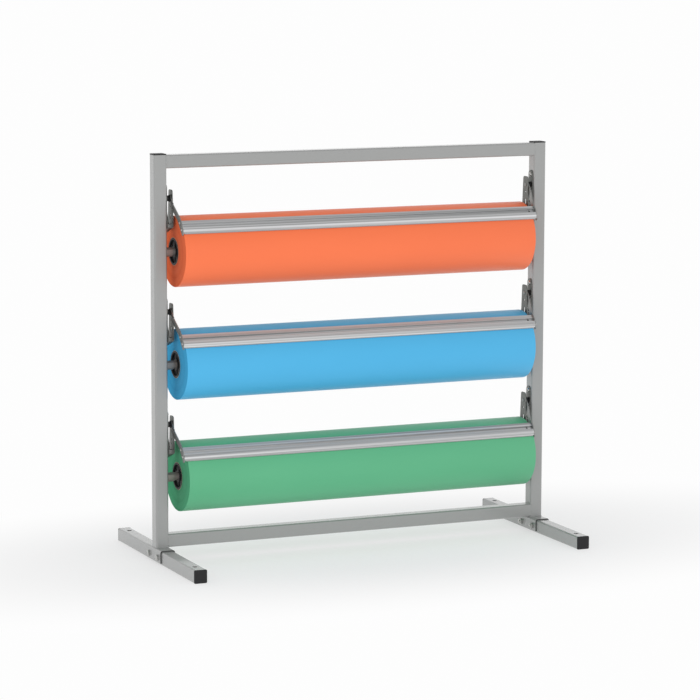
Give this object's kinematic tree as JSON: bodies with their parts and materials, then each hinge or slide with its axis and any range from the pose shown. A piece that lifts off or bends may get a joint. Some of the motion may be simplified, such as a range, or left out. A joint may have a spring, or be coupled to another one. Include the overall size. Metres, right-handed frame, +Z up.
{
  "type": "wrapping paper roll rack with cutters",
  "caption": "Floor-standing tube rack that carries wrapping-paper rolls one above another, each under a spring-loaded cutter bar.",
  "frame": {"origin": "on the floor, in the middle of the rectangle of the two feet", "axes": "+X along the rolls to the right end, +Y to the rear, +Z up; the cutters are at -Y"},
  "size_m": [1.0358, 0.528, 0.9685],
  "materials": {
    "frame_paint": "smooth metallic grey powder coat, semi-gloss",
    "zinc_steel": "zinc-plated pressed steel, dull",
    "spring_steel": "black phosphated spring wire",
    "black_steel": "black oxide screws",
    "bar_aluminium": "satin anodised extrusion",
    "blade_steel": "ground steel strip",
    "axle_steel": "drawn steel tube",
    "black_plastic": "moulded, slightly textured",
    "core_board": "spiral-wound board",
    "orange_paper": "smooth, matte",
    "blue_paper": "smooth, matte",
    "green_paper": "smooth, matte"
  },
  "bodies": {
    "frame": {"left_upright": "frame_paint", "right_upright": "frame_paint", "top_rail": "frame_paint", "bottom_rail": "frame_paint", "left_foot": "frame_paint", "right_foot": "frame_paint", "left_saddle": "frame_paint", "right_saddle": "frame_paint", "upright_caps": "black_plastic", "left_foot_caps": "black_plastic", "right_foot_caps": "black_plastic", "saddle_bolts": "zinc_steel", "saddle_nuts": "zinc_steel", "bracket_screws": "zinc_steel", "top_left_bracket": "zinc_steel", "top_right_bracket": "zinc_steel", "top_axle_cradles": "zinc_steel", "top_pivot_pins": "zinc_steel", "top_springs": "spring_steel", "middle_left_bracket": "zinc_steel", "middle_right_bracket": "zinc_steel", "middle_axle_cradles": "zinc_steel", "middle_pivot_pins": "zinc_steel", "middle_springs": "spring_steel", "bottom_left_bracket": "zinc_steel", "bottom_right_bracket": "zinc_steel", "bottom_axle_cradles": "zinc_steel", "bottom_pivot_pins": "zinc_steel", "bottom_springs": "spring_steel"},
    "top_roll": {"top_paper_roll": "orange_paper", "top_core_tube": "core_board", "top_core_plugs": "black_plastic", "top_axle": "axle_steel"},
    "top_cutter": {"top_cutter_bar": "bar_aluminium", "top_cutter_blade": "blade_steel", "top_left_arm": "zinc_steel", "top_right_arm": "zinc_steel", "top_bar_screws": "black_steel", "top_pivot_bushings": "black_plastic"},
    "middle_roll": {"middle_paper_roll": "blue_paper", "middle_core_tube": "core_board", "middle_core_plugs": "black_plastic", "middle_axle": "axle_steel"},
    "middle_cutter": {"middle_cutter_bar": "bar_aluminium", "middle_cutter_blade": "blade_steel", "middle_left_arm": "zinc_steel", "middle_right_arm": "zinc_steel", "middle_bar_screws": "black_steel", "middle_pivot_bushings": "black_plastic"},
    "bottom_roll": {"bottom_paper_roll": "green_paper", "bottom_core_tube": "core_board", "bottom_core_plugs": "black_plastic", "bottom_axle": "axle_steel"},
    "bottom_cutter": {"bottom_cutter_bar": "bar_aluminium", "bottom_cutter_blade": "blade_steel", "bottom_left_arm": "zinc_steel", "bottom_right_arm": "zinc_steel", "bottom_bar_screws": "black_steel", "bottom_pivot_bushings": "black_plastic"}
  },
  "joints": [
    {"name": "top_roll_spin", "type": "hinge", "parent": "frame", "child": "top_roll", "pos_m": [0, 0.006, 0.7375], "axis": [1, 0, 0], "continuous": true},
    {"name": "top_cutter_lift", "type": "hinge", "parent": "frame", "child": "top_cutter", "pos_m": [0, 0.006, 0.863], "axis": [-1, 0, 0], "range_deg": [0, 70], "stiffness_Nm_per_rad": 0.6, "springref_deg": -45.84, "deforming": ["top_springs"]},
    {"name": "middle_roll_spin", "type": "hinge", "parent": "frame", "child": "middle_roll", "pos_m": [0, 0.006, 0.4695], "axis": [1, 0, 0], "continuous": true},
    {"name": "middle_cutter_lift", "type": "hinge", "parent": "frame", "child": "middle_cutter", "pos_m": [0, 0.006, 0.595], "axis": [-1, 0, 0], "range_deg": [0, 70], "stiffness_Nm_per_rad": 0.6, "springref_deg": -45.84, "deforming": ["middle_springs"]},
    {"name": "bottom_roll_spin", "type": "hinge", "parent": "frame", "child": "bottom_roll", "pos_m": [0, 0.006, 0.2015], "axis": [1, 0, 0], "continuous": true},
    {"name": "bottom_cutter_lift", "type": "hinge", "parent": "frame", "child": "bottom_cutter", "pos_m": [0, 0.006, 0.327], "axis": [-1, 0, 0], "range_deg": [0, 70], "stiffness_Nm_per_rad": 0.6, "springref_deg": -45.84, "deforming": ["bottom_springs"]}
  ]
}
